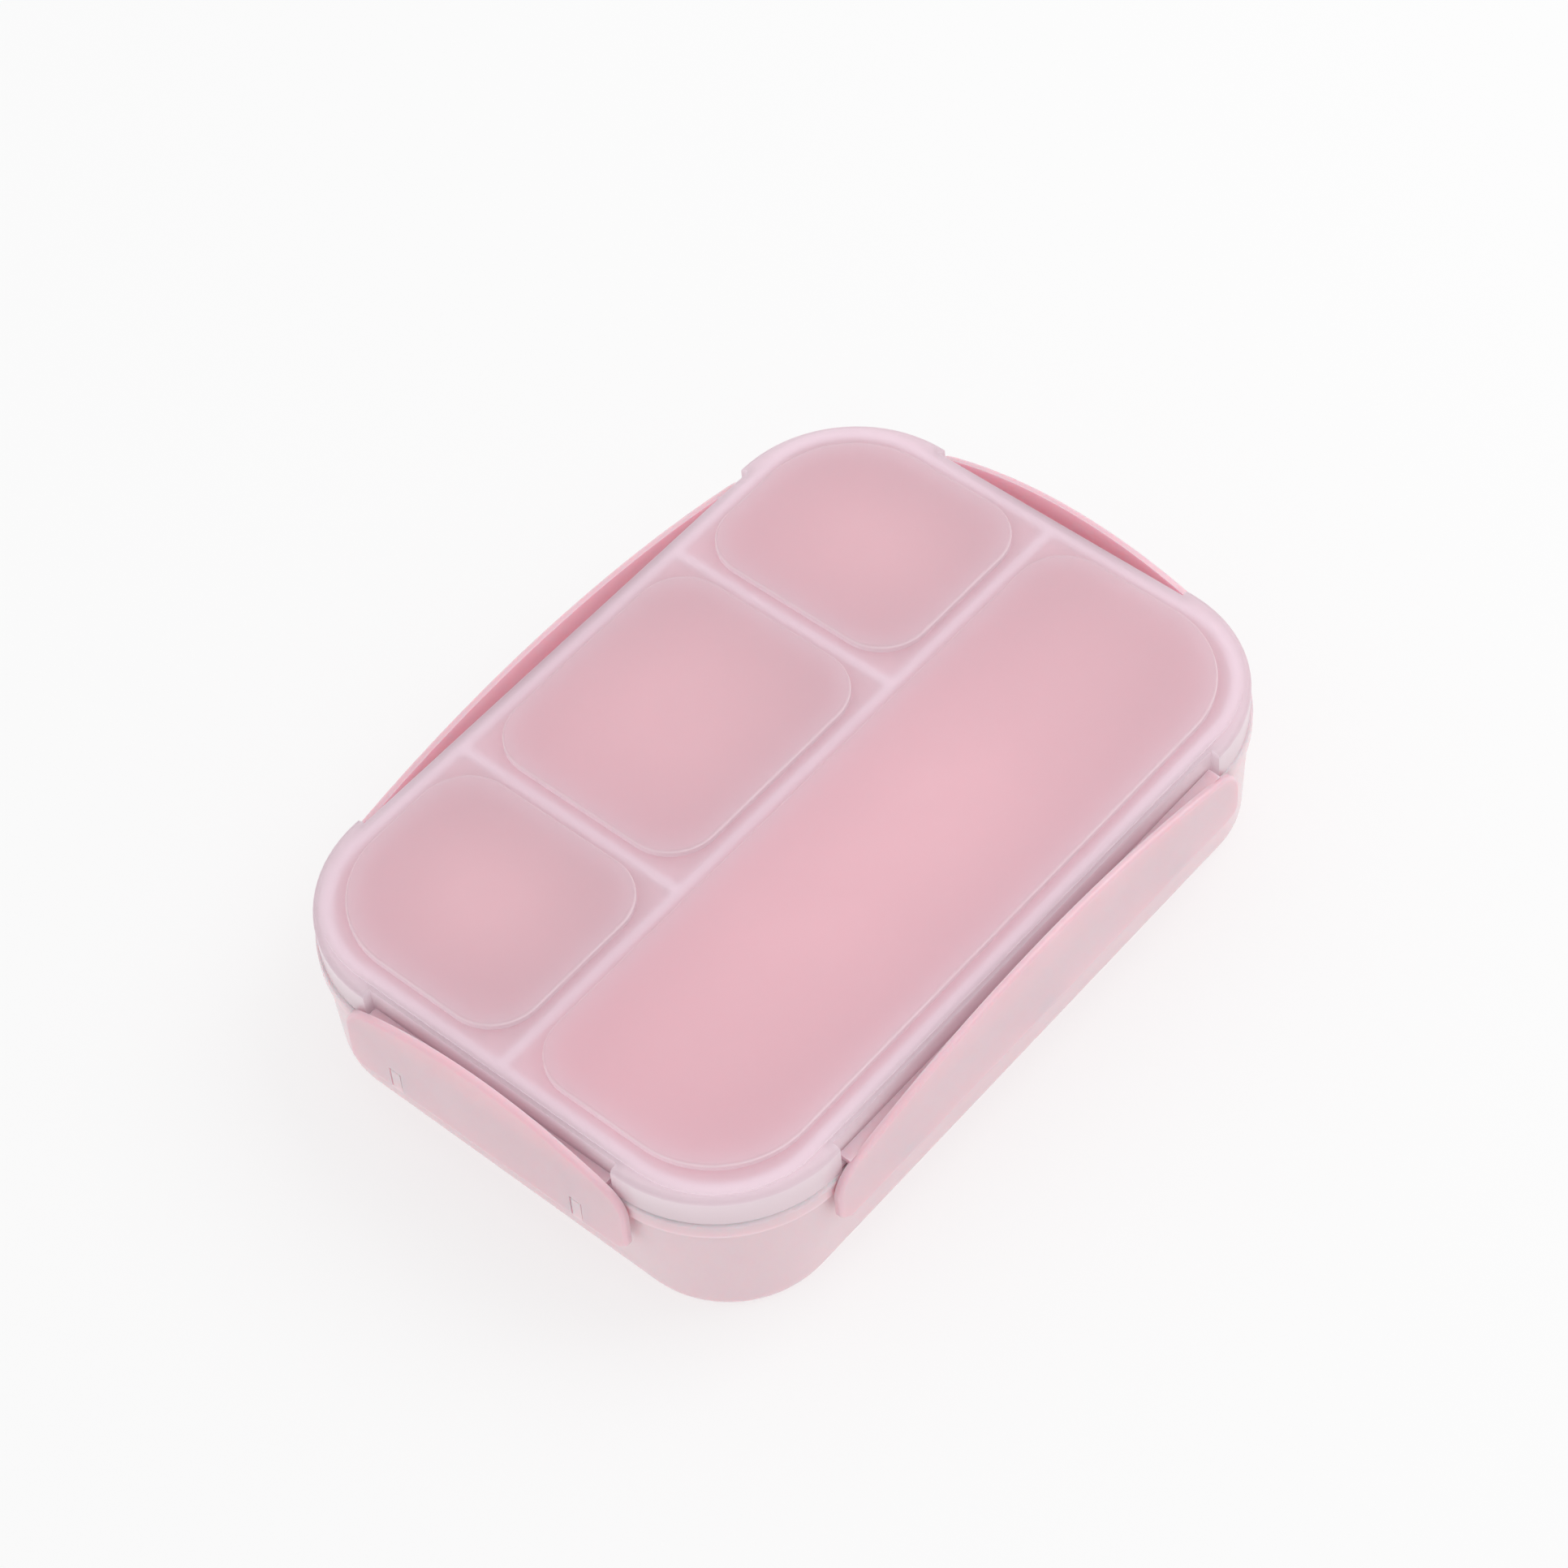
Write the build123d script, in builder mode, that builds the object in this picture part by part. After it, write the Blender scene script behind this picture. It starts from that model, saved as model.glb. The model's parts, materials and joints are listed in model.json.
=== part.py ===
from build123d import *
import os

# Four-compartment lunch box: a double-walled base, a clip-down lid with a seal, four latches.
# Millimetres. Origin on the ground under the middle of the box, +X along its length, +Z up.
# The latches stand on the four straight sides. "Offset" below means the distance outwards
# from the outline of the lid's flat panel, negative inwards.

# ---- driving dimensions: the whole box ----
panel_length = 219.4  # flat panel of the lid, along X
panel_width = 152.2  # flat panel of the lid, along Y
panel_radius = 30.0  # its corners
rim_height = 39.7  # ground to the top of the base's rim
lid_depth = 10.1  # bottom of the lid's skirt to its flat panel
long_divider_shift = 0.0  # middle of the long divider, along Y
short_divider_shift = 41.6  # middle of each short divider, along X

# ---- base shell ----
foot_offset = 0.15  # shell outline where it meets the ground
foot_radius = 28.5  # its corners
foot_fillet = 3.0
shell_top_offset = 3.2  # shell outline just under the rim
shell_top_radius = 36.5
shell_wall = 1.9
shell_floor = 2.2
underside_recess = 0.7  # the middle of the underside stands clear of the table
underside_margin = 9.0  # width of the ring that the box stands on
rim_offset = 4.3
rim_depth = 4.7
rim_fillet = 1.1

# ---- compartment tray ----
seal_overlap = 3.4  # inner face of the tray's lip, inwards from the panel outline
tray_wall = 1.6
divider_wall = 2.0
tray_floor = 1.6
compartment_draft = 3.2  # how far each compartment's foot is drawn in
compartment_fillet = 6.0  # floor to wall
compartment_corner = 14.0  # corners beside the dividers
flange_thickness = 1.5
flange_clearance = 0.2  # tray flange inside its seat in the rim
tray_floor_gap = 0.3  # tray above the shell's floor
seal_gap = 0.3  # lip and dividers below the seal

# ---- lid ----
lid_wall = 1.6
skirt_offset = 3.6
skirt_radius = 37.5
skirt_fillet = 1.5
panel_step = 0.5  # panel above the shoulder round it
side_wall_offset = 1.1  # outer face of the lid's side behind a latch
ledge_offset = 3.1  # edge of the ledge that the hooks hold
ledge_thickness = 1.2
seat_gap = 0.2  # skirt above the rim
long_recess_half = 74.6  # half the notch in the skirt for a long latch
short_recess_half = 40.7
pad_rise = 2.1
pad_inset = 1.8  # pad edge inwards from the sealing bands
pad_fillet = 0.8
pad_corner = 14.0
pad_outer_corner = 27.5

# ---- seal ----
band_width = 3.6  # lid's sealing band, from the panel outline inwards
seal_width = 2.9
seal_wall_gap = 0.2  # seal inside the lid's side wall
divider_seal_width = 3.1
seal_thickness = 2.0
seal_groove = 0.5
seal_side_gap = 0.1

# ---- latches ----
latch_rise = 1.6  # crown of a latch above the lid's panel
long_latch_half = 79.5
long_latch_height = 27.6
long_latch_arch = 10.7  # fall of the top edge from the crown to the end
short_latch_half = 46.3
short_latch_height = 30.1
short_latch_arch = 9.9
latch_top_inside = 4.4
latch_foot_inside = 5.0
latch_top_outside = 6.4
latch_foot_outside = 7.2
latch_top_corner = 9.0
latch_foot_corner = 4.5
latch_edge_fillet = 1.1
hook_thickness = 1.8
hook_tip_offset = 1.5
hook_gap = 0.4  # hook above the ledge
hook_chamfer = 0.7
hook_end_gap = 1.5  # hook's end short of the notch's end
hook_embed = 0.6  # how far the hook's root runs into the plate

# ---- hinges ----
pivot_offset = 4.8
pivot_rise = 2.2  # pivot above the latch's lower edge
pin_radius = 1.0
bore_clearance = 0.08
knuckle_radius = 2.0
knuckle_length = 3.0
pin_end_gap = 0.4
finger_width = 3.1
finger_side_gap = 0.4
finger_tip_radius = 1.05
finger_root_height = 3.6
pocket_offset = 6.2  # depth that a hidden finger needs in the latch's inner face
pocket_rise = 1.7  # pocket above the pivot
window_rise = 6.4  # window's top edge above the pivot, where the finger shows
finger_cap_gap = 0.4  # finger's cap below the window's top edge
finger_cap_set = 0.25  # cap's face and foot short of the latch's
finger_cap_fillet = 0.6
finger_root_offset = -1.0  # finger's root, inside the shell before it is hollowed
long_hinges = (-54.0, 0.0, 54.0)
short_hinges = (-30.1, 30.1)

overcut = 1.0  # how far a trimming solid runs past what it trims

# ---- heights that follow ----
skirt_bottom = rim_height + seat_gap
panel_top = skirt_bottom + lid_depth
panel_underside = panel_top - lid_wall
shoulder_top = panel_top - panel_step
ledge_top = skirt_bottom + ledge_thickness
hook_bottom = ledge_top + hook_gap
seal_top = panel_underside + seal_groove
seal_bottom = seal_top - seal_thickness
lip_top = seal_bottom - seal_gap
flange_bottom = rim_height - flange_thickness
rim_bottom = rim_height - rim_depth
tray_bottom = shell_floor + tray_floor_gap
latch_top = panel_top + latch_rise

half_length = panel_length / 2
half_width = panel_width / 2
half_divider = divider_wall / 2

# Each compartment as (low x, high x, low y, high y), to the panel's outline or a divider's middle.
compartments = (
    (-half_length, half_length, -half_width, long_divider_shift),
    (-half_length, -short_divider_shift, long_divider_shift, half_width),
    (-short_divider_shift, short_divider_shift, long_divider_shift, half_width),
    (short_divider_shift, half_length, long_divider_shift, half_width),
)


def box_outline(height, offset, radius):
    """Rounded rectangle round the box at a height, a distance outside the lid's panel."""
    with BuildSketch(Plane.XY.offset(height)) as outline:
        RectangleRounded(panel_length + 2 * offset, panel_width + 2 * offset, radius)
    return outline.sketch


def cell_outline(height, cell, at_wall, at_divider, wall_radius, divider_radius):
    """A compartment's outline, drawn in by one distance at the walls and another at the dividers."""
    low_x, high_x, low_y, high_y = cell
    left_inset = at_wall if low_x == -half_length else at_divider
    right_inset = at_wall if high_x == half_length else at_divider
    front_inset = at_wall if low_y == -half_width else at_divider
    rear_inset = at_wall if high_y == half_width else at_divider
    left = low_x + left_inset
    right = high_x - right_inset
    front = low_y + front_inset
    rear = high_y - rear_inset
    corners = ((left, front), (right, front), (right, rear), (left, rear))
    meeting = (
        (left_inset, front_inset),
        (right_inset, front_inset),
        (right_inset, rear_inset),
        (left_inset, rear_inset),
    )
    radii = [wall_radius if pair == (at_wall, at_wall) else divider_radius for pair in meeting]
    with BuildSketch(Plane.XY.offset(height)) as outline:
        with BuildLine():
            FilletPolyline(*corners, radius=radii, close=True)
        make_face()
    return outline.sketch


def drafted_cell(cell, foot, mouth, wall, radius):
    """A compartment's solid between two heights, grown by a wall, with a rounded foot."""
    with BuildPart() as solid:
        loft(
            [
                cell_outline(
                    foot,
                    cell,
                    seal_overlap - wall + compartment_draft,
                    half_divider - wall + compartment_draft,
                    panel_radius - seal_overlap + wall - compartment_draft,
                    compartment_corner + wall - compartment_draft,
                ),
                cell_outline(
                    mouth,
                    cell,
                    seal_overlap - wall,
                    half_divider - wall,
                    panel_radius - seal_overlap + wall,
                    compartment_corner + wall,
                ),
            ]
        )
        fillet(solid.faces().sort_by(Axis.Z)[0].edges(), radius)
    return solid.part


def seal_outline(height, grow):
    """The seal seen from above: a ring with three strips, grown by a clearance."""
    outer = side_wall_offset - lid_wall - seal_wall_gap + grow
    inner = outer - seal_width - 2 * grow
    strip = divider_seal_width + 2 * grow
    with BuildSketch(Plane.XY.offset(height)) as outline:
        RectangleRounded(panel_length + 2 * outer, panel_width + 2 * outer, panel_radius + outer)
        RectangleRounded(
            panel_length + 2 * inner,
            panel_width + 2 * inner,
            panel_radius + inner,
            mode=Mode.SUBTRACT,
        )
        with Locations((0, long_divider_shift)):
            Rectangle(panel_length + 2 * inner + grow, strip)
        for shift in (-short_divider_shift, short_divider_shift):
            with Locations((shift, long_divider_shift)):
                reach = half_width + inner - long_divider_shift + grow
                Rectangle(strip, reach, align=(Align.CENTER, Align.MIN))
    return outline.sketch


def lid_pad(cell):
    """The raised pad of the lid above one compartment, with a rounded top edge."""
    at_wall = band_width + pad_inset
    at_divider = divider_seal_width / 2 + pad_inset
    outline = cell_outline(panel_underside, cell, at_wall, at_divider, pad_outer_corner, pad_corner)
    with BuildPart() as pad:
        extrude(outline, amount=lid_wall + pad_rise)
        fillet(pad.faces().sort_by(Axis.Z)[-1].edges(), pad_fillet)
    return pad.part


def pad_hollow(cell):
    """Outline of the hollow under one pad."""
    return cell_outline(
        panel_underside,
        cell,
        band_width + pad_inset + lid_wall,
        divider_seal_width / 2 + pad_inset + lid_wall,
        pad_outer_corner - lid_wall,
        pad_corner - lid_wall,
    )


class Side:
    """One straight side of the box: its direction, its distance from the middle and its latch."""

    def __init__(
        self, name, outward, distance, latch_half, latch_height, arch, recess_half, hinges, windows
    ):
        self.name = name
        self.outward = Vector(*outward)
        self.along = Vector(0, 0, 1).cross(self.outward)
        self.distance = distance
        self.latch_half = latch_half
        self.latch_bottom = latch_top - latch_height
        self.arch = arch
        self.recess_half = recess_half
        self.hinges = hinges
        self.windows = windows
        self.pivot_height = self.latch_bottom + pivot_rise

    def facing(self, offset):
        """Plane parallel to the side, looking outwards: x along the side, y up."""
        return Plane(origin=self.outward * (self.distance + offset), x_dir=self.along, z_dir=self.outward)

    def section(self, along):
        """Plane across the side: x is the offset outwards, y is up."""
        origin = self.outward * self.distance + self.along * along
        return Plane(origin=origin, x_dir=self.outward, z_dir=-self.along)


long_latch = (long_latch_half, long_latch_height, long_latch_arch, long_recess_half, long_hinges, False)
short_latch = (
    short_latch_half,
    short_latch_height,
    short_latch_arch,
    short_recess_half,
    short_hinges,
    True,
)
sides = (
    Side("long_latch_front", (0, -1, 0), half_width, *long_latch),
    Side("long_latch_rear", (0, 1, 0), half_width, *long_latch),
    Side("short_latch_left", (-1, 0, 0), half_length, *short_latch),
    Side("short_latch_right", (1, 0, 0), half_length, *short_latch),
)

# ---- base shell: outer wall, floor, rim and the hinge fingers ----
with BuildPart() as base_shell:
    loft(
        [
            box_outline(0, foot_offset, foot_radius),
            box_outline(rim_bottom, shell_top_offset, shell_top_radius),
        ]
    )
    fillet(base_shell.faces().sort_by(Axis.Z)[0].edges(), foot_fillet)
    extrude(box_outline(rim_bottom, rim_offset, skirt_radius + rim_offset - skirt_offset), amount=rim_depth)
    fillet(base_shell.edges().group_by(Axis.Z)[-1], rim_fillet)

    # hinge fingers with stub pins; on the short sides a cap fills the latch's window
    for side in sides:
        pivot = side.pivot_height
        for spot in side.hinges:
            with BuildSketch(side.section(spot + finger_width / 2)) as finger:
                with BuildLine():
                    Polyline(
                        (finger_root_offset, pivot - finger_root_height / 2),
                        (pivot_offset - pin_radius, pivot - finger_tip_radius),
                        (pivot_offset, pivot - finger_tip_radius),
                    )
                    ThreePointArc(
                        (pivot_offset, pivot - finger_tip_radius),
                        (pivot_offset + finger_tip_radius, pivot),
                        (pivot_offset, pivot + finger_tip_radius),
                    )
                    Polyline(
                        (pivot_offset, pivot + finger_tip_radius),
                        (pivot_offset - pin_radius, pivot + finger_tip_radius),
                        (finger_root_offset, pivot + finger_root_height / 2),
                        (finger_root_offset, pivot - finger_root_height / 2),
                    )
                make_face()
            extrude(amount=finger_width)
            if side.windows:
                cap_face = latch_foot_outside - finger_cap_set
                cap_foot = side.latch_bottom + finger_cap_set
                cap_top = pivot + window_rise - finger_cap_gap
                with BuildSketch(side.section(spot + finger_width / 2)) as cap:
                    with BuildLine():
                        Polyline(
                            (pivot_offset - pin_radius, pivot - finger_tip_radius),
                            (pivot_offset, cap_foot),
                            (cap_face, cap_foot),
                            (cap_face, cap_top),
                            (latch_foot_inside, cap_top),
                            (pivot_offset - pin_radius, pivot + finger_tip_radius),
                            close=True,
                        )
                    make_face()
                    fillet(cap.vertices().group_by(Axis.Y)[-1].sort_by(Axis.X)[-1], finger_cap_fillet)
                extrude(amount=finger_width)
            pin_reach = finger_width / 2 + finger_side_gap + knuckle_length - pin_end_gap
            with BuildSketch(side.section(spot + pin_reach)):
                with Locations((pivot_offset, pivot)):
                    Circle(pin_radius)
            extrude(amount=2 * pin_reach)

    # hollow inside and the seat for the tray's flange
    loft(
        [
            box_outline(shell_floor, foot_offset - shell_wall, foot_radius - shell_wall),
            box_outline(flange_bottom, shell_top_offset - shell_wall, shell_top_radius - shell_wall),
        ],
        mode=Mode.SUBTRACT,
    )
    extrude(
        box_outline(flange_bottom, shell_top_offset, skirt_radius + shell_top_offset - skirt_offset),
        amount=flange_thickness,
        mode=Mode.SUBTRACT,
    )
    extrude(
        box_outline(0, -underside_margin, foot_radius - underside_margin),
        amount=underside_recess,
        mode=Mode.SUBTRACT,
    )
base_shell.part.label = "base_shell"

# ---- compartment tray: four cups, their shared lip and the flange that seats in the rim ----
cup_solids = [
    drafted_cell(cell, tray_bottom, lip_top, tray_wall, compartment_fillet + tray_wall)
    for cell in compartments
]
cup_hollows = [
    drafted_cell(cell, tray_bottom + tray_floor, lip_top, 0, compartment_fillet)
    for cell in compartments
]
with BuildPart() as compartment_tray:
    add(cup_solids)
    extrude(
        box_outline(flange_bottom, tray_wall - seal_overlap, panel_radius - seal_overlap + tray_wall),
        amount=lip_top - flange_bottom,
    )
    flange_offset = shell_top_offset - flange_clearance
    extrude(
        box_outline(flange_bottom, flange_offset, skirt_radius + flange_offset - skirt_offset),
        amount=flange_thickness,
    )
    add(cup_hollows, mode=Mode.SUBTRACT)
compartment_tray.part.label = "compartment_tray"

# ---- lid: flat panel, raised pads, a skirt notched for the latches ----
lid_pads = [lid_pad(cell) for cell in compartments]
with BuildPart() as lid:
    extrude(box_outline(skirt_bottom, skirt_offset, skirt_radius), amount=shoulder_top - skirt_bottom)
    fillet(lid.edges().group_by(Axis.Z)[-1], skirt_fillet)
    extrude(box_outline(shoulder_top, 0, panel_radius), amount=panel_step)
    add(lid_pads)

    # notches for the latches, down to the ledge
    for side in sides:
        notch_width = 2 * side.recess_half
        with BuildSketch(side.facing(side_wall_offset)):
            with Locations((0, ledge_top)):
                Rectangle(notch_width, panel_top, align=(Align.CENTER, Align.MIN))
        extrude(amount=skirt_offset, mode=Mode.SUBTRACT)
        with BuildSketch(side.facing(ledge_offset)):
            with Locations((0, skirt_bottom)):
                Rectangle(notch_width, panel_top, align=(Align.CENTER, Align.MIN))
        extrude(amount=skirt_offset, mode=Mode.SUBTRACT)

    # hollow underside, wider inside the skirt's corners
    inner_offset = side_wall_offset - lid_wall
    extrude(
        box_outline(skirt_bottom, inner_offset, panel_radius + inner_offset),
        amount=panel_underside - skirt_bottom,
        mode=Mode.SUBTRACT,
    )
    with BuildSketch(Plane.XY.offset(skirt_bottom)):
        add(box_outline(skirt_bottom, skirt_offset - lid_wall, skirt_radius - lid_wall))
        Rectangle(2 * (long_recess_half + lid_wall), 2 * panel_width, mode=Mode.SUBTRACT)
        Rectangle(2 * panel_length, 2 * (short_recess_half + lid_wall), mode=Mode.SUBTRACT)
    extrude(amount=shoulder_top - lid_wall - skirt_bottom, mode=Mode.SUBTRACT)

    # hollow pads
    for cell in compartments:
        extrude(pad_hollow(cell), amount=pad_rise, mode=Mode.SUBTRACT)

    # groove that holds the seal
    extrude(seal_outline(panel_underside, seal_side_gap), amount=seal_groove, mode=Mode.SUBTRACT)
lid.part.label = "lid"

# ---- seal: a ring above the tray's lip, joined by strips above the dividers ----
with BuildPart() as seal:
    extrude(seal_outline(seal_bottom, 0), amount=seal_thickness)
seal.part.label = "seal"


def make_latch(side):
    """One latch: an arched plate with a hook shelf and the knuckles that turn on the pins."""
    pivot = side.pivot_height
    bottom = side.latch_bottom
    end_height = latch_top - side.arch
    reach = latch_foot_outside + overcut
    with BuildPart() as latch:
        with BuildSketch(side.facing(0)) as plate:
            with BuildLine():
                Polyline(
                    (-side.latch_half, end_height),
                    (-side.latch_half, bottom),
                    (side.latch_half, bottom),
                    (side.latch_half, end_height),
                )
                ThreePointArc(
                    (side.latch_half, end_height),
                    (0, latch_top),
                    (-side.latch_half, end_height),
                )
            make_face()
            fillet(plate.vertices().group_by(Axis.Y)[-1], latch_top_corner)
            fillet(plate.vertices().group_by(Axis.Y)[0], latch_foot_corner)
        extrude(amount=reach)
        with BuildSketch(side.section(side.latch_half + overcut)):
            with BuildLine():
                Polyline(
                    (latch_foot_inside, bottom - overcut),
                    (latch_foot_outside, bottom - overcut),
                    (latch_top_outside, latch_top + overcut),
                    (latch_top_inside, latch_top + overcut),
                    close=True,
                )
            make_face()
        extrude(amount=2 * (side.latch_half + overcut), mode=Mode.INTERSECT)
        outer_face = latch.faces().sort_by(Axis((0, 0, 0), side.outward))[-1]
        fillet(outer_face.edges(), latch_edge_fillet)

        # hook shelf along the inside of the plate
        hook_half = side.recess_half - hook_end_gap
        hook_root = latch_top_inside + hook_embed
        with BuildSketch(side.section(hook_half)):
            with BuildLine():
                Polyline(
                    (hook_tip_offset, hook_bottom + hook_chamfer),
                    (hook_tip_offset + hook_chamfer, hook_bottom),
                    (hook_root, hook_bottom),
                    (hook_root, hook_bottom + hook_thickness),
                    (hook_tip_offset, hook_bottom + hook_thickness),
                    close=True,
                )
            make_face()
        extrude(amount=2 * hook_half)

        # knuckles either side of each hinge finger
        opening_half = finger_width / 2 + finger_side_gap
        for spot in side.hinges:
            for start in (spot + opening_half + knuckle_length, spot - opening_half):
                with BuildSketch(side.section(start)):
                    with Locations((pivot_offset, pivot)):
                        Circle(knuckle_radius)
                        Rectangle(
                            latch_foot_outside - latch_edge_fillet - pivot_offset,
                            2 * knuckle_radius,
                            align=(Align.MIN, Align.CENTER),
                        )
                extrude(amount=knuckle_length)
            opening_height = pivot_rise + (window_rise if side.windows else pocket_rise)
            with BuildSketch(side.facing(0)):
                with Locations((spot, bottom)):
                    Rectangle(2 * opening_half, 2 * opening_height)
            extrude(amount=reach if side.windows else pocket_offset, mode=Mode.SUBTRACT)
            bore_half = opening_half + knuckle_length
            with BuildSketch(side.section(spot + bore_half)):
                with Locations((pivot_offset, pivot)):
                    Circle(pin_radius + bore_clearance)
            extrude(amount=2 * bore_half, mode=Mode.SUBTRACT)
    latch.part.label = side.name
    return latch.part


latches = [make_latch(side) for side in sides]

os.makedirs("parts", exist_ok=True)
for piece in (base_shell.part, compartment_tray.part, lid.part, seal.part, *latches):
    export_step(piece, f"parts/{piece.label}.step")
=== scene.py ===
# %% [markdown]
# # A clip-down lunch box, finished in Blender
# The box is a shell with a tray of four cups inside it, a frosted lid with a soft seal under it, and
# four latches that clip the lid down. The exact shape of each piece comes from its CAD model. They could
# be remodelled here by hand, but then a latch might no longer fit its rim, so the CAD pieces stay as they
# are, apart from the soft seal. This lesson gives them their finish: satin plastic, a milky lid that lets
# the cups glow through, and silicone. Then it lights the box and sets up a camera.

# %% Load the frame
import bpy
import json
import math
from mathutils import Matrix, Vector


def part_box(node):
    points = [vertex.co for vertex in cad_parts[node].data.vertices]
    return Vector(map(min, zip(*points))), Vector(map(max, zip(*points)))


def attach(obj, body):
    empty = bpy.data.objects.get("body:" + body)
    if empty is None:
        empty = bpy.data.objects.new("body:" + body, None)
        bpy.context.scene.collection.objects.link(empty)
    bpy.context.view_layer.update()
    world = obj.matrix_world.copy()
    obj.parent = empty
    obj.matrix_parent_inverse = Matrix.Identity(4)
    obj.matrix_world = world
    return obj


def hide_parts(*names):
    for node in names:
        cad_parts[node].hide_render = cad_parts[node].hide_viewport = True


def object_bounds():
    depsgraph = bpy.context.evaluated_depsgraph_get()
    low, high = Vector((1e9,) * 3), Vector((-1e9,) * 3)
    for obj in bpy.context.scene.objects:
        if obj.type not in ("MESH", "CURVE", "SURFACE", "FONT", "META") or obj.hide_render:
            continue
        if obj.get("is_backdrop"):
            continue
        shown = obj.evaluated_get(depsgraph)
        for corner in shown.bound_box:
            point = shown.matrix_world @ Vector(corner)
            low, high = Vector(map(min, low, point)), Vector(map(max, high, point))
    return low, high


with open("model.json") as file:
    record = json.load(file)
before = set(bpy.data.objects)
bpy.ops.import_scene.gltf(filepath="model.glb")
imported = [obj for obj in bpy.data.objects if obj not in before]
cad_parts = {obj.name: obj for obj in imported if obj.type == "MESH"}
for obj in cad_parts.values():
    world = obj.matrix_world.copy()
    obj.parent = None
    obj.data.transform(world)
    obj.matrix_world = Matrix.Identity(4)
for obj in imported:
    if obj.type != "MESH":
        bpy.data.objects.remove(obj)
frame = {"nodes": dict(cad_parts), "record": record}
cad_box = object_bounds()
nodes = frame["nodes"]
for name in sorted(nodes):
    print(name, "has", len(nodes[name].data.polygons), "faces")

# %% [markdown]
# ## A blank material
# Blender works in metres, so a millimetre gets its own name, and every small size is a number of them.
# White gets a name too: a colour is red, green, blue and opacity, each from 0 to 1.
# Each finish is a network of nodes that ends in a shader. A new material already holds one Principled
# shader, which can stand for most real surfaces, and every finish below starts from it.

# %% A blank material
MILLIMETRE = 0.001
WHITE = (1, 1, 1, 1)


def blank_material(name):
    """A new material, returned with its node tree and its Principled shader."""
    material = bpy.data.materials.new(name)
    material.use_nodes = True
    tree = material.node_tree
    return material, tree, tree.nodes["Principled BSDF"]


# %% [markdown]
# ## Patterns that stay on the piece
# Moulded plastic is never one flat colour: pigment drifts, and the polish of the mould varies. Noise
# gives that drift. It could be laid on through UV maps, but these pieces have none, so the noise is
# worked out from the Object coordinates. These are in metres, and they move with the piece, so the
# pattern stays put when a latch swings open.

# %% Helpers for patterns
def place_on_piece(tree):
    """Coordinates in metres that stay with the piece when it moves."""
    return tree.nodes.new("ShaderNodeTexCoord").outputs["Object"]


def drift(tree, place, size, detail=2.0):
    """Soft random blobs of about the given size."""
    texture = tree.nodes.new("ShaderNodeTexNoise")
    texture.inputs["Scale"].default_value = 1 / size
    texture.inputs["Detail"].default_value = detail
    tree.links.new(place, texture.inputs["Vector"])
    return texture.outputs["Fac"]


def remap(tree, value, start, end, low, high):
    """Stretches the part of a pattern from start to end over the range from low to high."""
    reach = tree.nodes.new("ShaderNodeMapRange")
    reach.inputs["From Min"].default_value = start
    reach.inputs["From Max"].default_value = end
    reach.inputs["To Min"].default_value = low
    reach.inputs["To Max"].default_value = high
    tree.links.new(value, reach.inputs["Value"])
    return reach.outputs["Result"]


def two_tone(tree, share, first, second):
    """The first colour where the pattern is 0, and the second where it is 1."""
    mix = tree.nodes.new("ShaderNodeMix")
    mix.data_type = "RGBA"
    mix.inputs["A"].default_value = (*first, 1)
    mix.inputs["B"].default_value = (*second, 1)
    tree.links.new(share, mix.inputs["Factor"])
    return mix.outputs["Result"]


# %% [markdown]
# ## Grain, sheen and colour together
# Three patterns make a plastic look moulded: a slow drift of colour, patches that are a little more or
# less polished, and a spark-eroded grain too fine to see by itself, which breaks up the reflections. The
# grain could be real geometry, but it is far below a millimetre, so a bump is enough.

# %% Helpers for moulded surfaces
NOISE_LOW = 0.3
NOISE_HIGH = 0.7
GRAIN_SIZE = 0.35 * MILLIMETRE
GRAIN_DEPTH = 0.02 * MILLIMETRE
GRAIN_DETAIL = 3.0
GRAIN_STRENGTH = 0.35


def uneven_polish(tree, shader, place, patch, smooth, rough):
    """Roughness that wanders between two values in patches of a size."""
    sheen = remap(tree, drift(tree, place, patch), NOISE_LOW, NOISE_HIGH, smooth, rough)
    tree.links.new(sheen, shader.inputs["Roughness"])


def mould_grain(tree, shader, place):
    """The fine grain that a textured mould leaves."""
    bump = tree.nodes.new("ShaderNodeBump")
    bump.inputs["Strength"].default_value = GRAIN_STRENGTH
    bump.inputs["Distance"].default_value = GRAIN_DEPTH
    tree.links.new(drift(tree, place, GRAIN_SIZE, GRAIN_DETAIL), bump.inputs["Height"])
    tree.links.new(bump.outputs["Normal"], shader.inputs["Normal"])


# %% [markdown]
# ## Satin pastel plastic
# The shell, the tray and the latches are moulded in polypropylene coloured with a little pink. Light
# goes a few millimetres into this plastic before it comes back out, and it comes back warmer: that is why
# a gap between two such pieces looks deep pink and not grey. It could be faked with a redder colour, but
# subsurface scattering follows the light itself, with a longer reach for red than for green and blue. A
# weak, soft coat gives the gentle highlight along rounded edges.

# %% Satin plastic
PIGMENT_DRIFT = 30 * MILLIMETRE
POLISH_PATCH = 6 * MILLIMETRE
SATIN_SMOOTH = 0.36
SATIN_ROUGH = 0.44
SATIN_COAT = 0.7
SATIN_COAT_ROUGHNESS = 0.25
LIGHT_REACH = 6 * MILLIMETRE
REACH_BY_COLOUR = (1.0, 0.35, 0.42)
SCATTER_SHARE = 0.9


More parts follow.
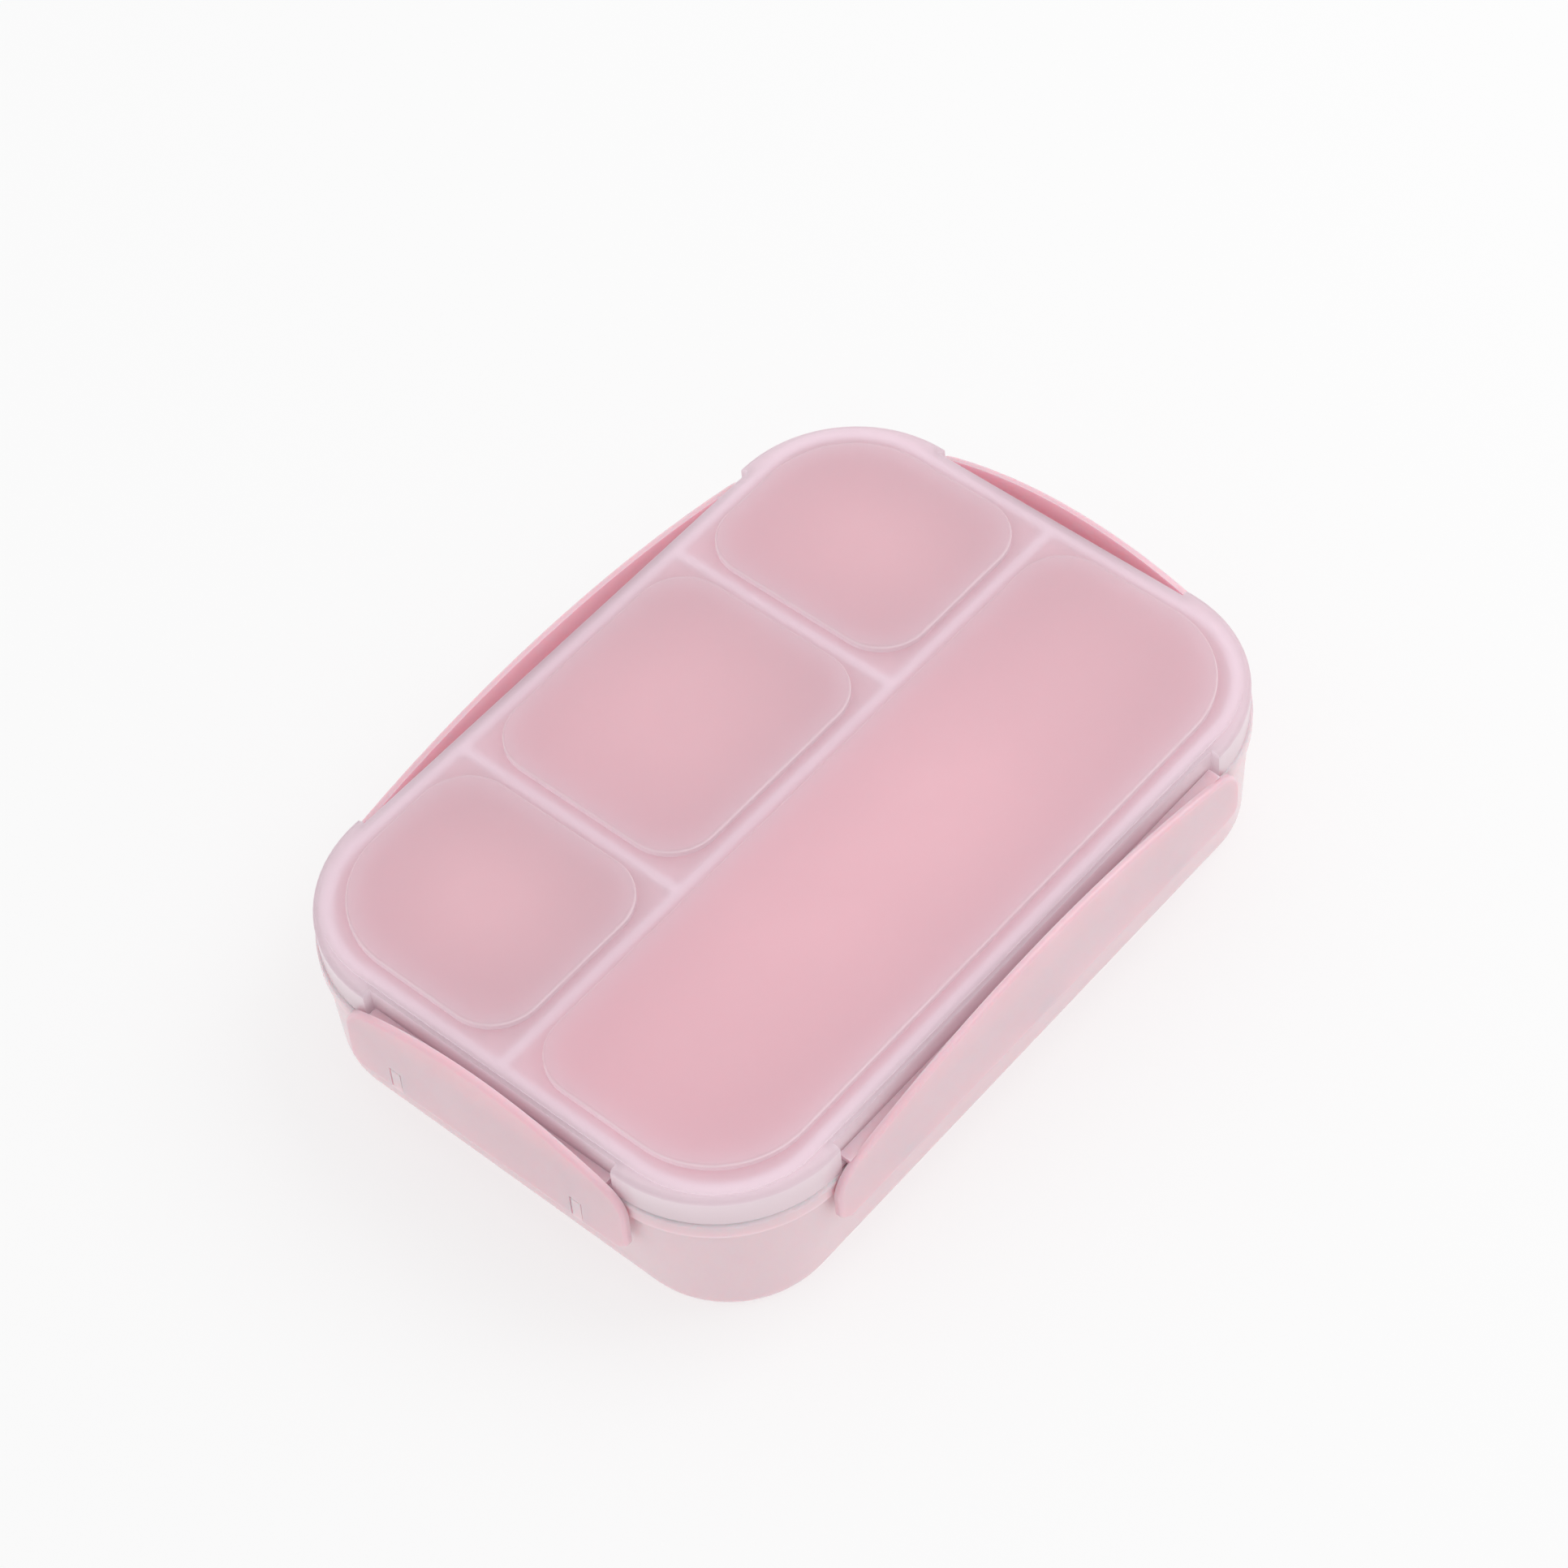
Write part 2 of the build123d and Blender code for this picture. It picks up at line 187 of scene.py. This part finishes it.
def satin_plastic(name, deep, light):
    """Pastel moulded plastic that light soaks into."""
    material, tree, shader = blank_material(name)
    place = place_on_piece(tree)
    pigment = remap(tree, drift(tree, place, PIGMENT_DRIFT), NOISE_LOW, NOISE_HIGH, 0, 1)
    tree.links.new(two_tone(tree, pigment, deep, light), shader.inputs["Base Color"])
    uneven_polish(tree, shader, place, POLISH_PATCH, SATIN_SMOOTH, SATIN_ROUGH)
    mould_grain(tree, shader, place)
    shader.inputs["Coat Weight"].default_value = SATIN_COAT
    shader.inputs["Coat Roughness"].default_value = SATIN_COAT_ROUGHNESS
    shader.inputs["Subsurface Weight"].default_value = SCATTER_SHARE
    shader.inputs["Subsurface Radius"].default_value = REACH_BY_COLOUR
    shader.inputs["Subsurface Scale"].default_value = LIGHT_REACH
    return material


# %% [markdown]
# ## Light inside a latch
# A latch is thin, and part of the light that falls on its outer face should come out of its inner face,
# warm pink. The scattering above shows too little of this, and the narrow gap between latch and lid turns
# out brown. So that light is painted on: the inner faces get a faint glow, though they are no lamp. They
# could be picked out by hand, but on an inner face the normal points back towards the middle of the box,
# so its dot product with the place is negative. Both are the piece's own, so the painted glow swings with
# the latch.

# %% Painted glow on the inner faces
# Painted light: a faint pink emission on the inner faces of the latches.
PAINTED_INNER_GLOW = 0.08
PAINTED_INNER_GLOW_COLOUR = (1.0, 0.5, 0.6)
NO_GLOW = (0.0, 0.0, 0.0)
FULLY_INWARD = -0.05
NOT_INWARD = 0.02
LEVEL = (1, 1, 0)


def combine_vectors(tree, operation, first, second):
    """Joins two vectors at each place; the second can also be three numbers."""
    node = tree.nodes.new("ShaderNodeVectorMath")
    node.operation = operation
    tree.links.new(first, node.inputs[0])
    if isinstance(second, tuple):
        node.inputs[1].default_value = second
    else:
        tree.links.new(second, node.inputs[1])
    return node


def paint_inner_glow(material):
    """Paints a faint glow, painted light, on the faces that look towards the middle of the box."""
    tree = material.node_tree
    shader = tree.nodes["Principled BSDF"]
    coordinates = tree.nodes.new("ShaderNodeTexCoord")
    normal = coordinates.outputs["Normal"]
    sideways = combine_vectors(tree, "MULTIPLY", coordinates.outputs["Object"], LEVEL)
    outward = combine_vectors(tree, "DOT_PRODUCT", sideways.outputs["Vector"], normal)
    inward = remap(tree, outward.outputs["Value"], FULLY_INWARD, NOT_INWARD, 1, 0)
    glow = two_tone(tree, inward, NO_GLOW, PAINTED_INNER_GLOW_COLOUR)
    tree.links.new(glow, shader.inputs["Emission Color"])
    shader.inputs["Emission Strength"].default_value = PAINTED_INNER_GLOW


# %% [markdown]
# ## Three pinks
# The shell and the latches are close to each other, and the latches have the least colour in them. One
# pink for all would be simpler, but the tray has to be much deeper, because it is seen mostly through the
# lid, which washes its colour out.

# %% The pinks of shell, latches and tray
SHELL_DEEP = (0.86, 0.55, 0.595)
SHELL_LIGHT = (0.88, 0.57, 0.615)
LATCH_DEEP = (0.71, 0.485, 0.535)
LATCH_LIGHT = (0.735, 0.515, 0.565)
TRAY_DEEP = (0.93, 0.35, 0.43)
TRAY_LIGHT = (0.95, 0.38, 0.46)

shell_pink = satin_plastic("shell_pink", SHELL_DEEP, SHELL_LIGHT)
latch_pink = satin_plastic("latch_pink", LATCH_DEEP, LATCH_LIGHT)
tray_pink = satin_plastic("tray_pink", TRAY_DEEP, TRAY_LIGHT)
# The latches get the painted glow on their inner faces.
paint_inner_glow(latch_pink)
print("satin plastics:", shell_pink.name, latch_pink.name, tray_pink.name)

# %% [markdown]
# ## Where the cups glow through the lid
# The lid is warmest over the middle of each cup and turns to a cooler mauve towards the cup's walls: that is
# light from the cups below, coming through it. The frosted plastic could be left to show this by itself,
# but rendered plainly it shows too little of it. So this light is painted into the lid's colour, with a
# soft round gradient over each cup: Blender's spherical gradient is 1 at its centre and 0 at a distance
# of 1, and a mapping stretches that to the cup's own width and depth.
# The cups' places come from the openings that the model's record lists, so they follow the CAD.

# %% The places of the cups
openings = frame["record"]["physics"]["openings"]
cups = [[Vector(corner) for corner in opening["box_m"]] for opening in openings]
for low, high in cups:
    print("cup", round((high.x - low.x) / MILLIMETRE), "by", round((high.y - low.y) / MILLIMETRE), "mm")

# %% A soft gradient over one cup
GLOW_STRETCH = 1.15
MAPPING_DEPTH = 1.0


def cup_gradient(tree, place, low, high):
    """1 over the middle of one cup, falling to 0 a little beyond its walls."""
    mapping = tree.nodes.new("ShaderNodeMapping")
    mapping.vector_type = "TEXTURE"
    mapping.inputs["Location"].default_value = (low + high) / 2
    reach = (high - low) / 2 * GLOW_STRETCH
    mapping.inputs["Scale"].default_value = (reach.x, reach.y, MAPPING_DEPTH)
    tree.links.new(place, mapping.inputs["Vector"])
    gradient = tree.nodes.new("ShaderNodeTexGradient")
    gradient.gradient_type = "SPHERICAL"
    tree.links.new(mapping.outputs["Vector"], gradient.inputs["Vector"])
    return gradient.outputs["Fac"]


# %% [markdown]
# ## One painted cup light for the whole lid
# Where two gradients meet, the larger one counts, so every cup keeps its own centre. A slow drift makes
# the painted light uneven, because the light is not the same in each cup. Math nodes do both: they work
# on two patterns at each place of the surface.

# %% Painted cup light over all the cups
GLOW_FULL = 0.75
GLOW_DRIFT = 45 * MILLIMETRE
GLOW_WEAK = 0.6
GLOW_STRONG = 1.0


def combine(tree, operation, first, second):
    """Joins two patterns at each place by an operation."""
    node = tree.nodes.new("ShaderNodeMath")
    node.operation = operation
    tree.links.new(first, node.inputs[0])
    tree.links.new(second, node.inputs[1])
    return node.outputs["Value"]


def painted_cup_light(tree, place):
    """Painted cup light: 1 where the lid is warmest, over the middles of the cups, and 0 over the walls
    between them.
    """
    strength = remap(tree, drift(tree, place, GLOW_DRIFT), NOISE_LOW, NOISE_HIGH, GLOW_WEAK, GLOW_STRONG)
    glow = None
    for low, high in cups:
        one = cup_gradient(tree, place, low, high)
        glow = combine(tree, "MAXIMUM", glow, one) if glow else one
    return combine(tree, "MULTIPLY", strength, remap(tree, glow, 0, GLOW_FULL, 0, 1))


# %% [markdown]
# ## The edges of a milky sheet
# Light travels inside a milky sheet and leaves at its edges. Here that light is painted: the rounded edge
# of each raised pad gets a painted highlight, a thin pale line in its colour, and the skirt, which is the
# edge of the whole lid, is whiter and has a faint painted glow. The faces there could have a material of
# their own, but then the change from one to the other would be hard. Both edges lie at their own heights
# on the lid, so the height picks them out, with a soft change.

# %% Find the skirt and the pad edges by height
SKIRT_BLEND = 1.5 * MILLIMETRE
SHOULDER_BELOW_TOP = 3.2 * MILLIMETRE
PAD_WALL_BELOW_TOP = 0.75 * MILLIMETRE
PAD_EDGE_BELOW_TOP = 0.5 * MILLIMETRE
PAD_ROUND_BELOW_TOP = 0.25 * MILLIMETRE
PAD_FLAT_BELOW_TOP = 0.08 * MILLIMETRE
PAD_HIGHLIGHT_SHARE = 0.6

lid_low, lid_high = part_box("lid")
lid_top = lid_high.z


def height_on_piece(tree, place):
    """How high a point is, in metres."""
    split = tree.nodes.new("ShaderNodeSeparateXYZ")
    tree.links.new(place, split.inputs["Vector"])
    return split.outputs["Z"]


def skirt_share(tree, height):
    """1 on the lid's skirt and 0 on its panel."""
    shoulder = lid_top - SHOULDER_BELOW_TOP
    return remap(tree, height, shoulder - SKIRT_BLEND, shoulder, 1, 0)


def pad_highlight_share(tree, height):
    """Where the painted highlight goes: a thin ring where the top of each raised pad rounds over."""
    edge_start = lid_top - PAD_WALL_BELOW_TOP
    edge_full = lid_top - PAD_EDGE_BELOW_TOP
    wall = remap(tree, height, edge_start, edge_full, 0, PAD_HIGHLIGHT_SHARE)
    flat = remap(tree, height, lid_top - PAD_ROUND_BELOW_TOP, lid_top - PAD_FLAT_BELOW_TOP, 1, 0)
    return combine(tree, "MULTIPLY", wall, flat)


print("lid reaches from", round(lid_low.z / MILLIMETRE, 1), "to", round(lid_top / MILLIMETRE, 1), "mm")

# %% [markdown]
# ## The milk
# The Principled shader is the milk in the plastic: the part of the light that comes straight back. Its
# colour goes from mauve to warm by the painted cup light, then the skirt's colour and the painted highlight
# on the pad edges are laid over it, and the skirt gets a faint painted glow. A crisp, thin coat gives the
# panel its gloss.

# %% The light that comes back
# The milk goes from mauve to warm by the painted cup light: light from the cups below painted into its
# colour.
MILK_MAUVE = (0.86, 0.735, 0.785)
MILK_WARM = (0.98, 0.81, 0.865)
SKIRT_MILK = (0.74, 0.66, 0.69)
# Painted highlight: a pale line on the pad edges. Painted glow: a faint emission on the skirt, which is no
# lamp.
PAD_HIGHLIGHT_MILK = (1.0, 0.90, 0.93)
PAINTED_SKIRT_GLOW = 0.09
PAINTED_SKIRT_GLOW_COLOUR = (1.0, 0.72, 0.82)
PLASTIC_IOR = 1.49
LID_POLISH_PATCH = 5 * MILLIMETRE
LID_SMOOTH = 0.38
LID_ROUGH = 0.46
LID_COAT = 0.8
LID_COAT_ROUGHNESS = 0.12


def tint(tree, share, pattern, colour):
    """Lays one colour over a coloured pattern by a share."""
    mix = tree.nodes.new("ShaderNodeMix")
    mix.data_type = "RGBA"
    tree.links.new(pattern, mix.inputs["A"])
    mix.inputs["B"].default_value = (*colour, 1)
    tree.links.new(share, mix.inputs["Factor"])
    return mix.outputs["Result"]


def pour_milk(tree, shader, place, cup_light, skirt, edge):
    """Colours and polishes the shader that sends light back, with painted cup light, a painted highlight on
    the pad edges and a painted glow on the skirt.
    """
    milk = tint(tree, skirt, two_tone(tree, cup_light, MILK_MAUVE, MILK_WARM), SKIRT_MILK)
    tree.links.new(tint(tree, edge, milk, PAD_HIGHLIGHT_MILK), shader.inputs["Base Color"])
    glow = two_tone(tree, skirt, NO_GLOW, PAINTED_SKIRT_GLOW_COLOUR)
    tree.links.new(glow, shader.inputs["Emission Color"])
    shader.inputs["Emission Strength"].default_value = PAINTED_SKIRT_GLOW
    uneven_polish(tree, shader, place, LID_POLISH_PATCH, LID_SMOOTH, LID_ROUGH)
    shader.inputs["IOR"].default_value = PLASTIC_IOR
    shader.inputs["Coat Weight"].default_value = LID_COAT
    shader.inputs["Coat Roughness"].default_value = LID_COAT_ROUGHNESS


# %% [markdown]
# ## The light that goes through
# The Principled shader's own transmission, with a high roughness, would be the obvious choice for a
# frosted lid, but it makes this lid too dark. Here most of the light goes through a Translucent shader,
# which spreads it in all directions as milky plastic does. A small share is refracted, so that the tray's
# walls still show as soft shapes. A Mix Shader joins two shaders by a share, which can be a number or a
# pattern.

# %% The light that goes through
# Painted cup light: the light that goes through is warmer where the painted cup light is strong.
THROUGH_MAUVE = (0.955, 0.905, 0.94)
THROUGH_WARM = (0.985, 0.945, 0.965)
BENT_SHARE = 0.12
BENT_IOR = 1.2
BENT_ROUGHNESS = 0.45


def mix_shaders(tree, share, first, second):
    """Joins two shaders; the share of the second is a number or a pattern."""
    mix = tree.nodes.new("ShaderNodeMixShader")
    if isinstance(share, float):
        mix.inputs["Fac"].default_value = share
    else:
        tree.links.new(share, mix.inputs["Fac"])
    tree.links.new(first, mix.inputs[1])
    tree.links.new(second, mix.inputs[2])
    return mix.outputs["Shader"]


def light_through(tree, cup_light):
    """Spreads most of the light and bends the rest; its colour follows the painted cup light."""
    spread = tree.nodes.new("ShaderNodeBsdfTranslucent")
    tree.links.new(two_tone(tree, cup_light, THROUGH_MAUVE, THROUGH_WARM), spread.inputs["Color"])
    bent = tree.nodes.new("ShaderNodeBsdfRefraction")
    bent.inputs["IOR"].default_value = BENT_IOR
    bent.inputs["Roughness"].default_value = BENT_ROUGHNESS
    return mix_shaders(tree, BENT_SHARE, spread.outputs["BSDF"], bent.outputs["BSDF"])


# %% [markdown]
# ## The frosted lid
# The lid is natural polypropylene, milky and thin. Its finish joins the two halves above: about two thirds
# of the light goes through the panel, and less through the skirt and the pad edges.
#
# Shadow rays get a clear shader. Without it the lamps would count the lid as solid, and the cups under it
# would be darker.

# %% Frosted plastic
PANEL_SHARE = 0.67
SKIRT_SHARE = 0.3
EDGE_SHARE = 0.4


def frosted_plastic(name):
    """Milky plastic with painted light: paler at its edges by a painted highlight, warmer over the cups by
    painted cup light.
    """
    material, tree, shader = blank_material(name)
    place = place_on_piece(tree)
    height = height_on_piece(tree, place)
    skirt = skirt_share(tree, height)
    edge = pad_highlight_share(tree, height)
    cup_light = painted_cup_light(tree, place)
    pour_milk(tree, shader, place, cup_light, skirt, edge)
    in_panel = remap(tree, skirt, 0, 1, PANEL_SHARE, SKIRT_SHARE)
    at_edge = remap(tree, edge, 0, 1, 1, EDGE_SHARE)
    share = combine(tree, "MULTIPLY", in_panel, at_edge)
    plastic = mix_shaders(tree, share, shader.outputs["BSDF"], light_through(tree, cup_light))
    path = tree.nodes.new("ShaderNodeLightPath")
    clear = tree.nodes.new("ShaderNodeBsdfTransparent")
    lit = mix_shaders(tree, path.outputs["Is Shadow Ray"], plastic, clear.outputs["BSDF"])
    tree.links.new(lit, tree.nodes["Material Output"].inputs["Surface"])
    return material


frosted = frosted_plastic("frosted_lid")
print(frosted.name, "has", len(frosted.node_tree.nodes), "nodes")

# %% [markdown]
# ## Silicone
# The seal is a soft, slightly tacky rubber with no coat: it has a dull, even surface. Silicone gets a
# faint bloom with use, so its colour drifts between two pale pinks.

# %% Silicone
BLOOM_SIZE = 20 * MILLIMETRE
RUBBER_ROUGHNESS = 0.55
SEAL_DEEP = (0.88, 0.81, 0.83)
SEAL_LIGHT = (0.90, 0.83, 0.85)


def silicone(name, deep, light):
    """Dull, soft rubber."""
    material, tree, shader = blank_material(name)
    place = place_on_piece(tree)
    bloom = remap(tree, drift(tree, place, BLOOM_SIZE), NOISE_LOW, NOISE_HIGH, 0, 1)
    tree.links.new(two_tone(tree, bloom, deep, light), shader.inputs["Base Color"])
    mould_grain(tree, shader, place)
    shader.inputs["Roughness"].default_value = RUBBER_ROUGHNESS
    return material


pale_silicone = silicone("pale_silicone", SEAL_DEEP, SEAL_LIGHT)
print("seal is", pale_silicone.name)

# %% [markdown]
# ## The outline of the seal
# The seal is one moulding: a ring that follows the rim, joined by three strips that lie over the walls
# between the cups. In the CAD model it fills its groove exactly, so its faces and the lid's lie in the
# same plane. A renderer can't tell which of two such faces is in front, and the lid shows black bands. So
# the seal is made again here, a tenth of a millimetre clear of its groove all round.
#
# It is a plate with four holes. Cutting the holes with Booleans would work, but a filled 2-D curve does
# it directly: its first loop is the outline, and each loop inside that becomes a hole.

# %% A loop with round corners
CORNER_STEPS = 16
QUARTER = math.pi / 2


def rounded_loop(low_x, high_x, low_y, high_y, radii):
    """Points round a rectangle from its low corner, anticlockwise, with a radius for each corner."""
    corners = ((low_x, low_y), (high_x, low_y), (high_x, high_y), (low_x, high_y))
    points = []
    for turn, (x, y) in enumerate(corners):
        radius = radii[turn]
        centre_x = x + radius if x == low_x else x - radius
        centre_y = y + radius if y == low_y else y - radius
        for step in range(CORNER_STEPS + 1):
            angle = math.pi + QUARTER * (turn + step / CORNER_STEPS)
            points.append((centre_x + radius * math.cos(angle), centre_y + radius * math.sin(angle)))
    return points


# %% [markdown]
# ## A soft-edged plate
# Silicone has no sharp edges. The curve's own bevel rounds them, and it swells the outline by as much, so
# every loop is drawn inside its final edge by the size of that bevel.

# %% A plate from loops
BEVEL_STEPS = 3


def soft_plate(name, loops, bottom, thickness, soft_edge):
    """A plate with rounded edges: the first loop is its outline, and the others are its holes."""
    curve = bpy.data.curves.new(name, "CURVE")
    curve.dimensions = "2D"
    curve.fill_mode = "BOTH"
    curve.extrude = thickness / 2 - soft_edge
    curve.bevel_depth = soft_edge
    curve.bevel_resolution = BEVEL_STEPS
    for loop in loops:
        spline = curve.splines.new("POLY")
        spline.points.add(len(loop) - 1)
        for point, (x, y) in zip(spline.points, loop):
            point.co = (x, y, 0, 1)
        spline.use_cyclic_u = True
    helper = bpy.data.objects.new(name, curve)
    bpy.context.scene.collection.objects.link(helper)
    bpy.context.view_layer.update()
    shaped = helper.evaluated_get(bpy.context.evaluated_depsgraph_get())
    mesh = bpy.data.meshes.new_from_object(shaped)
    bpy.data.objects.remove(helper)
    mesh.transform(Matrix.Translation((0, 0, bottom + thickness / 2)))
    piece = bpy.data.objects.new(name, mesh)
    bpy.context.scene.collection.objects.link(piece)
    return piece


# %% Make the seal
SEAL_CORNER = 29.3 * MILLIMETRE
SEAL_RING = 2.9 * MILLIMETRE
SEAL_STRIP = 3.1 * MILLIMETRE
STRIP_SHIFT = 41.6 * MILLIMETRE
SEAL_CLEARANCE = 0.1 * MILLIMETRE
SEAL_SOFT_EDGE = 0.4 * MILLIMETRE
JUNCTION_RADIUS = 1.2 * MILLIMETRE

seal_low, seal_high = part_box("seal")
inset = SEAL_CLEARANCE + SEAL_SOFT_EDGE
outer_x = seal_high.x - inset
outer_y = seal_high.y - inset
inner_x = seal_high.x - SEAL_RING + inset
inner_y = seal_high.y - SEAL_RING + inset
strip = SEAL_STRIP / 2 - inset
corner = SEAL_CORNER - SEAL_RING + inset
tight = JUNCTION_RADIUS
near_edge = STRIP_SHIFT - strip
far_edge = STRIP_SHIFT + strip
seal_loops = [
    rounded_loop(-outer_x, outer_x, -outer_y, outer_y, [SEAL_CORNER - inset] * 4),
    rounded_loop(-inner_x, inner_x, -inner_y, -strip, (corner, corner, tight, tight)),
    rounded_loop(-inner_x, -far_edge, strip, inner_y, (tight, tight, tight, corner)),
    rounded_loop(-near_edge, near_edge, strip, inner_y, [tight] * 4),
    rounded_loop(far_edge, inner_x, strip, inner_y, (tight, tight, corner, tight)),
]
seal_bottom = seal_low.z + SEAL_CLEARANCE
seal_depth = seal_high.z - seal_low.z - 2 * SEAL_CLEARANCE
soft_seal = soft_plate("soft_seal", seal_loops, seal_bottom, seal_depth, SEAL_SOFT_EDGE)
soft_seal.data.materials.clear()
soft_seal.data.materials.append(pale_silicone)
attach(soft_seal, "lid")
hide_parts("seal")
print("seal has", len(soft_seal.data.polygons), "faces and is", round(seal_depth / MILLIMETRE, 1), "mm deep")

# %% [markdown]
# ## Give each piece its finish
# A CAD piece keeps its mesh and only changes its material: its slots are emptied, and the new finish is
# the only one put back.

# %% Assign the finishes
FINISHES = {
    "base_shell": shell_pink,
    "compartment_tray": tray_pink,
    "lid": frosted,
    "seal": pale_silicone,
    "long_latch_front": latch_pink,
    "long_latch_rear": latch_pink,
    "short_latch_left": latch_pink,
    "short_latch_right": latch_pink,
}
for name, finish in FINISHES.items():
    mesh = nodes[name].data
    mesh.materials.clear()
    mesh.materials.append(finish)
    print(name, "is", finish.name)

# %% [markdown]
# ## The floor
# A product like this is shown on white paper under a light tent, where the paper glows as much as the
# walls do. A plain white floor would show a grey shadow round the box. So the floor gives part of its
# light itself and reflects the rest, and only a faint contact shadow is left.

# %% Floor
FLOOR_HALF = 6.0
FLOOR_GREY = 0.3
FLOOR_GLOW = 0.645
FLOOR_ROUGHNESS = 0.9
FLOOR_SPECULAR = 0.1


def paper_floor():
    """A large square of white paper at the height of the ground."""
    mesh = bpy.data.meshes.new("floor")
    s = FLOOR_HALF
    mesh.from_pydata([(-s, -s, 0), (s, -s, 0), (s, s, 0), (-s, s, 0)], [], [(0, 1, 2, 3)])
    paper, tree, shader = blank_material("floor_paper")
    shader.inputs["Base Color"].default_value = (FLOOR_GREY, FLOOR_GREY, FLOOR_GREY, 1)
    shader.inputs["Emission Color"].default_value = WHITE
    shader.inputs["Emission Strength"].default_value = FLOOR_GLOW
    shader.inputs["Roughness"].default_value = FLOOR_ROUGHNESS
    shader.inputs["Specular IOR Level"].default_value = FLOOR_SPECULAR
    mesh.materials.append(paper)
    floor = bpy.data.objects.new("floor", mesh)
    bpy.context.scene.collection.objects.link(floor)
    floor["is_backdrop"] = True
    return floor


floor = paper_floor()
print("floor is", 2 * FLOOR_HALF, "m wide")

# %% [markdown]
# ## Studio light
# The world is the light tent: an even white from all sides. One large softbox, high on the right, adds
# the soft highlights that show how round the edges are. The Standard view keeps the white paper white,
# where Blender's usual film-like view would turn it grey.

# %% World and softbox
TENT_BRIGHTNESS = 0.89
SOFTBOX_PLACE = (1.0, -0.5, 1.4)
SOFTBOX_SIZE = 1.2
SOFTBOX_WATTS = 8

world = bpy.data.worlds.new("light_tent")
world.use_nodes = True
tent = world.node_tree.nodes["Background"]
tent.inputs["Color"].default_value = WHITE
tent.inputs["Strength"].default_value = TENT_BRIGHTNESS
bpy.context.scene.world = world


def softbox(name, place, size, watts):
    """A square area light that points at the box."""
    light = bpy.data.lights.new(name, "AREA")
    light.shape = "SQUARE"
    light.size = size
    light.energy = watts
    lamp = bpy.data.objects.new(name, light)
    bpy.context.scene.collection.objects.link(lamp)
    lamp.location = place
    lamp.rotation_euler = (-Vector(place)).to_track_quat("-Z", "Y").to_euler()
    return lamp


key = softbox("key_softbox", SOFTBOX_PLACE, SOFTBOX_SIZE, SOFTBOX_WATTS)
bpy.context.scene.view_settings.view_transform = "Standard"
print("softbox is", round(key.location.length, 2), "m away")

# %% [markdown]
# ## The camera
# The box is seen from high in front of a corner, with a long lens that keeps its sides nearly parallel.
# The camera could be placed by hand. Here it is worked out from a few plain settings: where it aims, how
# far away it stands, its heading and tilt, and a slight roll.

# %% Camera
LENS = 97.7
SENSOR = 36
NEAREST = 0.01
AIM = Vector((13.0, 14.0, 26.1)) * MILLIMETRE
DISTANCE = 1.1043
HEADING = math.radians(44.63)
TILT = math.radians(52.31)
ROLL = math.radians(5.43)

look = Vector((math.cos(HEADING) * math.cos(TILT), math.sin(HEADING) * math.cos(TILT), -math.sin(TILT)))
level = Vector((math.sin(HEADING), -math.cos(HEADING), 0))
upright = level.cross(look)
up = upright * math.cos(ROLL) + level * math.sin(ROLL)
side = look.cross(up)
turn = Matrix((side, up, -look)).transposed().to_4x4()

camera_data = bpy.data.cameras.new("camera")
camera_data.lens = LENS
camera_data.sensor_width = SENSOR
camera_data.clip_start = NEAREST
camera = bpy.data.objects.new("camera", camera_data)
bpy.context.scene.collection.objects.link(camera)
camera.matrix_world = Matrix.Translation(AIM - look * DISTANCE) @ turn
bpy.context.scene.camera = camera
print("camera is at", [round(value, 4) for value in camera.matrix_world.translation])

# %% [markdown]
# ## Measure the size
# Finishes must not change how big the object is. The box round the CAD model was measured straight after
# loading; now the finished model is measured in the same way, and both are written down.

# %% Write both boxes
visual_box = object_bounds()
for label, (low, high) in (("CAD", cad_box), ("visual", visual_box)):
    print(label, "box is", [round(value / MILLIMETRE, 1) for value in high - low], "mm")
